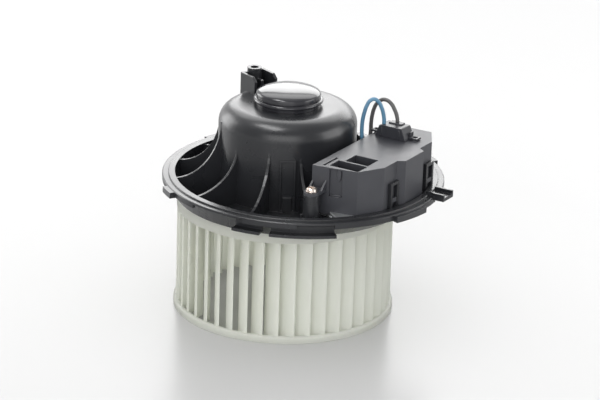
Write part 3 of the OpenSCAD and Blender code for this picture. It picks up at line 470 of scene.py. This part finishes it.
def ringMesh():
    wall, bandZ, height = wheel["wall"], wheel["bandZ"], wheel["height"]
    outerR, bandIn, coneR = wheel["outerR"], wheel["outerR"] - wheel["wall"], wheel["innerR"] - 1
    lipR, lipH = wheel["lipR"], wheel["lipH"]
    hubR, boreR, hubZ, hubTop = wheel["hubR"], wheel["boreR"], wheel["hubZ"], wheel["hubZ"] + wheel["hubLen"]
    footZ, (midR, midZ), (lowR, lowZ) = hubZ + wheel["coneFoot"], wheel["coneMid"], wheel["coneLow"]
    lip = [(bandIn, 0), (lipR, 0), (lipR, lipH - 1), (lipR - 1, lipH), (bandIn, lipH)]
    # band, upper side of the cone, hub, and back along the cone's lower side
    crown = [(outerR, bandZ), (outerR, height), (bandIn, height), (bandIn, bandZ + wall),
        (coneR, bandZ + wall), (midR, midZ + wall), (lowR, lowZ + 0.5 + wall), (hubR, footZ + wall + 1),
        (hubR, hubTop), (boreR, hubTop), (boreR, hubZ), (hubR, hubZ), (hubR, footZ),
        (lowR, lowZ), (midR, midZ), (coneR, bandZ - 1), (coneR, bandZ)]
    return joinMeshes([turnedMesh(roundCorners(outline, wheel["corner"]), wheel["steps"])
        for outline in (lip, crown)])


blade = meshPiece("bladeSource", *bladeMesh(), wheelNatural)
rings = meshPiece("ringSource", *ringMesh(), wheelNatural)
tree, given = geometryTree("bladedWheel", [("Blades", "NodeSocketInt"), ("Blade", "NodeSocketObject")])
spots = addNode(tree, "GeometryNodePoints", None, {"Count": (given, "Blades")})
index = addNode(tree, "GeometryNodeInputIndex")
share = addNode(tree, "ShaderNodeMath", {"operation": "DIVIDE"}, {0: (index, 0), 1: (given, "Blades")})
turn = addNode(tree, "ShaderNodeMath", {"operation": "MULTIPLY", 1: 2 * math.pi}, {0: (share, 0)})
spin = addNode(tree, "ShaderNodeCombineXYZ", None, {"Z": (turn, 0)})
source = addNode(tree, "GeometryNodeObjectInfo", None, {"Object": (given, "Blade")})
copies = addNode(tree, "GeometryNodeInstanceOnPoints", None,
    {"Points": (spots, 0), "Instance": (source, "Geometry"), "Rotation": (spin, 0)})
whole = addNode(tree, "GeometryNodeJoinGeometry", None, {"Geometry": (copies, 0)})
tree.links.new(given.outputs["Geometry"], whole.inputs["Geometry"])
endTree(tree, given, whole)
fanWheel = runTree(rings, tree, {"Blades": wheel["blades"], "Blade": blade, "Finish": wheelNatural},
    "fanWheel")
bpy.data.objects.remove(blade)
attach(fanWheel, "rotor")
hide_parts("fan_wheel")
print("fan wheel built:", len(fanWheel.data.polygons), "faces")

# Cap of the dome: spigot in the dome's hole, bead round the foot, low crown
cap = {"spigotIn": 17.25, "spigotR": 18.85, "spigotZ": 142.2, "seatZ": 145.7, "baseR": 21.9,
    "beadR": 22.45, "beadZ": 149.3, "bead": 1.4, "groove": 0.5, "bodyR": 22.1, "shoulderZ": 153.4,
    "topZ": 157.7, "crown": 0.8, "poleR": 0.02, "steps": 120}


def capOutline():
    spigotIn, spigotR, spigotZ, seatZ = cap["spigotIn"], cap["spigotR"], cap["spigotZ"], cap["seatZ"]
    beadZ, bodyR, shoulderZ, topZ = cap["beadZ"], cap["bodyR"], cap["shoulderZ"], cap["topZ"]
    outline = [(spigotIn, spigotZ), (spigotR, spigotZ), (spigotR, seatZ), (cap["baseR"], seatZ),
        (cap["baseR"], beadZ - 1.2)]
    for degrees in range(-60, 91, 15):
        angle = math.radians(degrees)
        outline.append((cap["beadR"] + cap["bead"] * math.cos(angle), beadZ + cap["bead"] * math.sin(angle)))
    outline += [(bodyR - cap["groove"], beadZ + 1.35), (bodyR - cap["groove"], beadZ + 1.7),
        (bodyR, beadZ + 2.0)]
    for degrees in range(0, 88, 4):
        angle = math.radians(degrees)
        outline.append((bodyR * math.cos(angle) ** cap["crown"],
            shoulderZ + (topZ - shoulderZ) * math.sin(angle)))
    return outline + [(cap["poleR"], topZ), (cap["poleR"], beadZ + 1), (spigotIn, beadZ + 1)]


capPiece = meshPiece("capShell", *turnedMesh(capOutline(), cap["steps"]), capBlack, 40)
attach(capPiece, "housing")
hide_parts("dome_cap")
print("cap built")

# Lead plug: trapezoid body with two ribs and a thumb step, a latch ring with its arm at each end
plug = {"at": (43.6, 20.0), "z": 129.0, "length": 24.0, "deep": 12.0, "high": 8.6, "inset": 3.0,
    "cut": 0.8, "foot": (0.4, 1), "ribAt": (4.6, 5.8), "ribWide": 1.2, "ribProud": 0.45, "stepIn": 7,
    "stepProud": 0.9, "ringLong": 6.2, "ringWide": 6.0, "ringThick": 1.6, "ringWall": (1.5, 1.4),
    "ringLap": 0.2, "ringZ": 0.4, "armThick": 1.2, "armHigh": 5.4, "edge": 0.35}


# For outlines that are seen from the front: their third number runs to the back
def frontPlace(u, v, w):
    return flangePlace(u, w, v)


def plugMesh():
    startX, startY = plug["at"]
    endX, endY = startX + plug["length"], startY + plug["deep"]
    lowZ, topZ = plug["z"], plug["z"] + plug["high"]
    inset, cut, (footIn, footUp) = plug["inset"], plug["cut"], plug["foot"]
    profile = [(startX, lowZ), (endX, lowZ), (endX - footIn, lowZ + footUp), (endX - inset, topZ - cut),
        (endX - inset - cut, topZ), (startX + inset + cut, topZ), (startX + inset, topZ - cut),
        (startX + footIn, lowZ + footUp)]
    parts = [slab(profile, startY, endY, frontPlace)]
    for x in (startX + plug["ribAt"][0], endX - plug["ribAt"][1]):
        rib = rectangle(x, lowZ + 1.2, x + plug["ribWide"], topZ - 1.4)
        parts.append(slab(rib, startY - plug["ribProud"], startY + 0.6, frontPlace))
    thumb = rectangle(startX + plug["stepIn"], startY + 6.2, endX - plug["stepIn"], endY - 0.6)
    parts.append(slab(thumb, topZ - 0.5, topZ + plug["stepProud"], flangePlace))
    long, wide, (wallX, wallY) = plug["ringLong"], plug["ringWide"], plug["ringWall"]
    ringY, ringZ = endY - 7, lowZ + plug["ringZ"]
    for ringX in (startX - long + plug["ringLap"], endX - plug["ringLap"]):
        ring = rectangle(ringX, ringY, ringX + long, ringY + wide)
        hole = rectangle(ringX + wallX, ringY + wallY, ringX + long - wallX, ringY + wide - wallY)
        parts.append(slab(ring, ringZ, ringZ + plug["ringThick"], flangePlace, hole))
        # the arm stands up beside the body
        armX = ringX + long - 0.9 if ringX < startX else ringX - 0.3
        arm = rectangle(armX, ringY + 1, armX + plug["armThick"], ringY + wide - 1)
        parts.append(slab(arm, ringZ, lowZ + plug["armHigh"], flangePlace))
    return joinMeshes(parts)


plugPiece = meshPiece("plugShell", *plugMesh(), plugBlack, 30)
roundEdges(plugPiece, plug["edge"])
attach(plugPiece, "housing")
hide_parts("lead_plug")
print("plug built")

# Panel, tooth and sill that stand back in the latch window of the cover. The tooth is (left, right, foot,
# top) in the window, and its foot is cut off at the corners.
window = {"x": 52.0, "y": -53.37, "z": 109.0, "turn": 10.05, "wide": 9.14, "high": 18.9, "back": 1.5,
    "thick": 0.45, "lap": 0.15, "tooth": (5.4, 8.2, 11.5, 18.9), "toothCut": (0.9, 2.2),
    "toothBack": 0.2, "sillIn": 0.9, "sillHigh": 1.2, "sillBack": 0.5, "edge": 0.15}


# u runs along the cover's wall, v up, depth into the wall
def windowPlace(u, v, depth):
    turn = math.radians(window["turn"])
    return flangePlace(window["x"] + u * math.cos(turn) - depth * math.sin(turn),
        window["y"] + u * math.sin(turn) + depth * math.cos(turn), window["z"] + v)


def latchMesh():
    wide, high, back, lap = window["wide"], window["high"], window["back"], window["lap"]
    panel = slab(rectangle(-lap, -0.1, wide + lap, high + 0.2), back, back + window["thick"], windowPlace)
    (left, right, foot, top), (cutX, cutZ) = window["tooth"], window["toothCut"]
    tooth = slab([(left, foot + cutZ), (left + cutX, foot), (right - cutX, foot), (right, foot + cutZ),
        (right, top), (left, top)], window["toothBack"], back + 0.1, windowPlace)
    sill = slab(rectangle(window["sillIn"], 0, wide - window["sillIn"], window["sillHigh"]),
        window["sillBack"], back + 0.1, windowPlace)
    return joinMeshes([panel, tooth, sill])


panelPiece = meshPiece("latchPanel", *latchMesh(), coverSatin, 30)
roundEdges(panelPiece, window["edge"], 1)
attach(panelPiece, "housing")

# The heat sink's plate reaches out under the end of the cover, on the tongue of its solid
sinkPlate = {"low": 95.6, "high": 98.2, "edge": 0.4, "outline": [(50.9, -49.5), (50.9, -51.6),
    (60.6, -59.3), (62.7, -60.2), (66.6, -58.8), (69.8, -54.0), (70.6, -50.2), (70.6, -48.0)]}
edgePiece = meshPiece("sinkEdge", *slab(sinkPlate["outline"], sinkPlate["low"], sinkPlate["high"],
    flangePlace), sinkAluminium, 30)
roundEdges(edgePiece, sinkPlate["edge"])
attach(edgePiece, "housing")
print("controller details built")

# Leads: routes from the plug's top over and down into the motor. At their end they run side by side
# towards the axis, at the radii of blueIn and greyIn.
plugTop = plug["z"] + plug["high"]
leads = {"radius": 1.35, "sides": 20, "step": 0.9, "aim": -10.0, "apart": 2.0, "inZ": 104.0,
    "blue": [(65.3, -12, plugTop), (65.3, -12, plugTop + 2), (64.8, -12, 143.5), (63.2, -12.2, 149),
        (60.8, -12.4, 153.2), (58, -12.6, 155), (55.2, -12.8, 153.8), (53.2, -13, 150.5),
        (51.8, -13.1, 146), (50.8, -13.2, 141), (50.4, -13.2, 135), (50.6, -13, 128),
        (51.4, -12.6, 120), (52.4, -11.9, 113), (52.7, -11.5, 108.3), (51.9, -11.2, 105.4)],
    "blueIn": (50.6, 49, 43, 36.4),
    "grey": [(74.4, -10.1, plugTop), (74.4, -10.1, plugTop + 2), (73.8, -9.7, 142.8),
        (72.2, -8.6, 146.6), (69.4, -6.6, 150.6), (66, -4.2, 152), (62.6, -1.8, 150.6), (60, 0, 147.4),
        (58.4, 1.1, 143.2), (57.5, 1.7, 138.5), (57, 2, 133), (56.9, 1.8, 127), (56.2, 0, 120.5),
        (54.9, -3.4, 114), (53.8, -6.4, 108.8), (52.7, -7.2, 105.6)],
    "greyIn": (50.9, 49, 43, 36.4)}

tubeTree, given = geometryTree("tubeOnPath", [("Radius", "NodeSocketFloat"), ("Sides", "NodeSocketInt"),
    ("Step", "NodeSocketFloat")])
even = addNode(tubeTree, "GeometryNodeResampleCurve", {"mode": "LENGTH"},
    {"Curve": (given, "Geometry"), "Length": (given, "Step")})
circle = addNode(tubeTree, "GeometryNodeCurvePrimitiveCircle", None,
    {"Resolution": (given, "Sides"), "Radius": (given, "Radius")})
tube = addNode(tubeTree, "GeometryNodeCurveToMesh", {"Fill Caps": True},
    {"Curve": (even, 0), "Profile Curve": (circle, 0)})
endTree(tubeTree, given, tube)


def tubePiece(name, points, sizes, material):
    curve = bpy.data.curves.new(name + "Path", "CURVE")
    curve.dimensions = "3D"
    curve.resolution_u = 12
    line = curve.splines.new("BEZIER")
    line.bezier_points.add(len(points) - 1)
    for knot, point in zip(line.bezier_points, points):
        knot.co = Vector(point) * mm
        knot.handle_left_type = knot.handle_right_type = "AUTO"
    holder = bpy.data.objects.new(name + "Path", curve)
    bpy.context.scene.collection.objects.link(holder)
    return runTree(holder, tubeTree, {"Radius": sizes["radius"] * mm, "Sides": sizes["sides"],
        "Step": sizes["step"] * mm, "Finish": material}, name, 60)


def leadIn(r, side):
    aim, y = math.radians(leads["aim"]), side * leads["apart"]
    return (r * math.cos(aim) - y * math.sin(aim), r * math.sin(aim) + y * math.cos(aim), leads["inZ"])


for colour, node, material, side in (("blue", "blue_lead", blueVinyl, -1),
        ("grey", "grey_lead", greyVinyl, 1)):
    route = leads[colour] + [leadIn(r, side) for r in leads[colour + "In"]]
    piece = tubePiece(colour + "Lead", route, leads, material)
    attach(piece, "housing")
    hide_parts(node)

# Brush springs: coils between the ends of their solids; travel is the way of a brush
springs = {"radius": 0.22, "sides": 8, "step": 0.4, "coilR": 2.15, "turns": 4, "turnSteps": 14,
    "travel": 3.0}
brushZ = (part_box("brush_left")[0].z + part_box("brush_left")[1].z) / 2 / mm
for side, name in ((-1, "brush_spring_left"), (1, "brush_spring_right")):
    low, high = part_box(name)
    start, end = low.x / mm + springs["radius"], high.x / mm - springs["radius"]
    count = springs["turns"] * springs["turnSteps"]
    path = []
    for i in range(count + 1):
        angle = 2 * math.pi * i / springs["turnSteps"]
        path.append((start + (end - start) * i / count, springs["coilR"] * math.cos(angle),
            brushZ + springs["coilR"] * math.sin(angle)))
    sideName = "Left" if side < 0 else "Right"
    piece = tubePiece("brushCoil" + sideName, path, springs, springSteel)
    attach(piece, "housing")
    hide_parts(name)
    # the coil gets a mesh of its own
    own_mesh(piece)
print("leads and springs built")

# Controller screws: pan head with a six-lobed recess, one on each ear of the cover. Lobe is the wave of
# the recess's floor, wall and rim.
screws = {"headR": 3.8, "headH": 2.8, "recessR": 1.75, "recessDeep": 1.6, "shankR": 1.75, "shankLen": 12.0,
    "lobe": [0, 0.16, 0.16, 0.02], "axisR": 0.02, "steps": 48, "earTop": 114.0,
    "at": [(45.2, -64.1), (45.2, 58.8)]}


def screwOutline():
    headR, headH, shankR, shankLen = screws["headR"], screws["headH"], screws["shankR"], screws["shankLen"]
    recessR, floorZ, axisR = screws["recessR"], headH - screws["recessDeep"], screws["axisR"]
    recess = [(axisR, floorZ), (recessR * 0.9, floorZ), (recessR, headH - 0.1), (recessR + 0.25, headH)]
    head = [(headR * 0.72, headH - 0.12), (headR * 0.9, headH - 0.7), (headR * 0.95, 0.9), (headR, 0.7),
        (headR, 0.15), (headR - 0.15, 0)]
    shank = [(shankR, 0), (shankR, -shankLen + 1), (shankR * 0.6, -shankLen), (axisR, -shankLen)]
    return recess + head + shank


outline = screwOutline()
waves = screws["lobe"] + [0] * (len(outline) - len(screws["lobe"]))
screwSource = meshPiece("screwSource", *turnedMesh(outline, screws["steps"], waves), zincSteel, 30)
spotMesh = bpy.data.meshes.new("screwSpots")
spotMesh.from_pydata([Vector(flangePlace(x, y, screws["earTop"])) * mm for x, y in screws["at"]], [], [])
spotHolder = bpy.data.objects.new("screwSpots", spotMesh)
bpy.context.scene.collection.objects.link(spotHolder)
tree, given = geometryTree("screwSet", [("Screw", "NodeSocketObject")])
source = addNode(tree, "GeometryNodeObjectInfo", None, {"Object": (given, "Screw")})
copies = addNode(tree, "GeometryNodeInstanceOnPoints", None,
    {"Points": (given, "Geometry"), "Instance": (source, "Geometry")})
endTree(tree, given, copies)
screwSet = runTree(spotHolder, tree, {"Screw": screwSource, "Finish": zincSteel}, "moduleScrewSet", 30)
bpy.data.objects.remove(screwSource)
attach(screwSet, "housing")
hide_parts("module_screws")
print("screws built")

# Floor and surroundings. The floor glows for the camera and for reflections alone, from nothing at the
# first distance of fade to glow at the second, in metres, so that it runs into the white background.
stage = {"floor": "#c8c8c8", "size": 40, "rough": 0.28, "specular": 0.2, "fade": (0.3, 1.8), "glow": 0.42}
bpy.ops.mesh.primitive_plane_add(size=stage["size"], location=(0, 0, 0))
floor = bpy.context.object
floor.name = "floor"
material, tree, place = newMaterial("whiteSweep")
path = addNode(tree, "ShaderNodeLightPath")
seen = addNode(tree, "ShaderNodeMath", {"operation": "ADD"},
    {0: (path, "Is Camera Ray"), 1: (path, "Is Glossy Ray")})
also = addNode(tree, "ShaderNodeMath", {"operation": "ADD", "use_clamp": True},
    {0: (seen, 0), 1: (path, "Is Transmission Ray")})
away = addNode(tree, "ShaderNodeVectorMath", {"operation": "LENGTH"}, {0: (place, "Object")})
fade = addNode(tree, "ShaderNodeMapRange", {"From Min": stage["fade"][0], "From Max": stage["fade"][1],
    "To Min": 0.0, "To Max": stage["glow"]}, {"Value": (away, "Value")})
glow = addNode(tree, "ShaderNodeMath", {"operation": "MULTIPLY"}, {0: (also, 0), 1: (fade, 0)})
body = addNode(tree, "ShaderNodeBsdfPrincipled", {"Base Color": srgb(stage["floor"]),
    "Roughness": stage["rough"], "Specular IOR Level": stage["specular"]})
light = addNode(tree, "ShaderNodeEmission", None, {"Strength": (glow, 0)})
both = addNode(tree, "ShaderNodeAddShader", None, {0: (body, 0), 1: (light, 0)})
addNode(tree, "ShaderNodeOutputMaterial", None, {"Surface": (both, 0)})
floor.data.materials.append(material)

# White for the camera, an even light for matt surfaces. Reflections see a bright wall behind the object
# and a dimmer room in front of it; meet is where the one turns into the other along Y, from -1 to 1.
room = {"diffuse": 1.0, "glossFront": 0.45, "glossBack": 1.2, "meet": (-0.25, 0.85)}
world = bpy.data.worlds.new("lightTent")
bpy.context.scene.world = world
world.use_nodes = True
tree = world.node_tree
tree.nodes.clear()
path = addNode(tree, "ShaderNodeLightPath")
clear = addNode(tree, "ShaderNodeMath", {"operation": "MAXIMUM"},
    {0: (path, "Is Camera Ray"), 1: (path, "Is Transmission Ray")})
place = addNode(tree, "ShaderNodeTexCoord")
split = addNode(tree, "ShaderNodeSeparateXYZ", None, {0: (place, "Generated")})
wall = addNode(tree, "ShaderNodeMapRange", {"interpolation_type": "SMOOTHSTEP",
    "From Min": room["meet"][0], "From Max": room["meet"][1],
    "To Min": room["glossFront"], "To Max": room["glossBack"]}, {"Value": (split, "Y")})
shown = addNode(tree, "ShaderNodeMath", {"operation": "MULTIPLY"}, {0: (wall, 0), 1: (path, "Is Glossy Ray")})
matt = addNode(tree, "ShaderNodeMath", {"operation": "SUBTRACT", 0: 1.0}, {1: (path, "Is Glossy Ray")})
diffuse = addNode(tree, "ShaderNodeMath", {"operation": "MULTIPLY_ADD", 1: room["diffuse"]},
    {0: (matt, 0), 2: (shown, 0)})
strength = addNode(tree, "ShaderNodeMath", {"operation": "MAXIMUM"}, {0: (clear, 0), 1: (diffuse, 0)})
sky = addNode(tree, "ShaderNodeBackground", {"Color": (1, 1, 1, 1)}, {"Strength": (strength, 0)})
addNode(tree, "ShaderNodeOutputWorld", None, {"Surface": (sky, 0)})

# Name, place, size, radiance, and whether matt surfaces are lit too: the others show in reflections alone
lamps = [
    ("backStrip", (0.45, 2.1, 0.98), (2.6, 0.8), 4.1, False),
    ("backHigh", (0.1, 1.35, 1.65), (2.4, 0.9), 2.2, False),
    ("highSpot", (-0.62, -0.33, 1.95), (1.1, 0.5), 11.0, False),
    ("overhead", (-0.3, 0.1, 2.0), (1.6, 1.4), 0.3, True),
    ("leftBox", (-1.9, 1.3, 0.45), (1.3, 1.8), 4.6, False),
    ("rightBox", (1.9, -0.3, 0.5), (1.4, 1.4), 3.0, False),
    ("frontFill", (-0.3, -2.3, 0.75), (2.4, 1.3), 2.2, True),
]
lampAim = Vector((0, 0, 0.09))  # about the height of the flange
for name, at, size, radiance, lightsAll in lamps:
    lamp = bpy.data.lights.new(name, "AREA")
    lamp.shape = "RECTANGLE"
    lamp.size, lamp.size_y = size
    lamp.energy = radiance * math.pi * size[0] * size[1]
    holder = bpy.data.objects.new(name, lamp)
    holder.location = at
    holder.visible_diffuse = lightsAll
    holder.rotation_euler = (lampAim - Vector(at)).to_track_quat("-Z", "Y").to_euler()
    bpy.context.scene.collection.objects.link(holder)
print("stage and", len(lamps), "lamps set")

# Camera, fitted to the outlines of wheel, rim, dome and cap: angles in degrees, distance in metres, sensor
# in millimetres, the rest in pixels of the photograph
view = {"tilt": 22.666, "roll": 1.703, "focal": 2854.6, "offset": (17.42, 100.658), "distance": 2.0,
    "width": 600, "sensor": 36}
tilt, roll = math.radians(view["tilt"]), math.radians(view["roll"])
right, up = Vector((1, 0, 0)), Vector((0, math.sin(tilt), math.cos(tilt)))
back = Vector((0, -math.cos(tilt), math.sin(tilt)))
across = right * math.cos(roll) + up * math.sin(roll)
rise = up * math.cos(roll) - right * math.sin(roll)
ahead = (-back * view["focal"] + across * view["offset"][0] + rise * view["offset"][1]).normalized()
axisX = (across - ahead * across.dot(ahead)).normalized()
axisY = (-ahead).cross(axisX)
cameraData = bpy.data.cameras.new("photoCamera")
cameraData.sensor_width = view["sensor"]
cameraData.lens = view["sensor"] * view["focal"] / view["width"]
cameraData.clip_end = 50
camera = bpy.data.objects.new("photoCamera", cameraData)
rotation = Matrix((axisX, axisY, -ahead)).transposed()
camera.matrix_world = Matrix.Translation(back * view["distance"]) @ rotation.to_4x4()
bpy.context.scene.collection.objects.link(camera)
bpy.context.scene.camera = camera
bpy.context.scene.view_settings.view_transform = "Standard"

print("done")
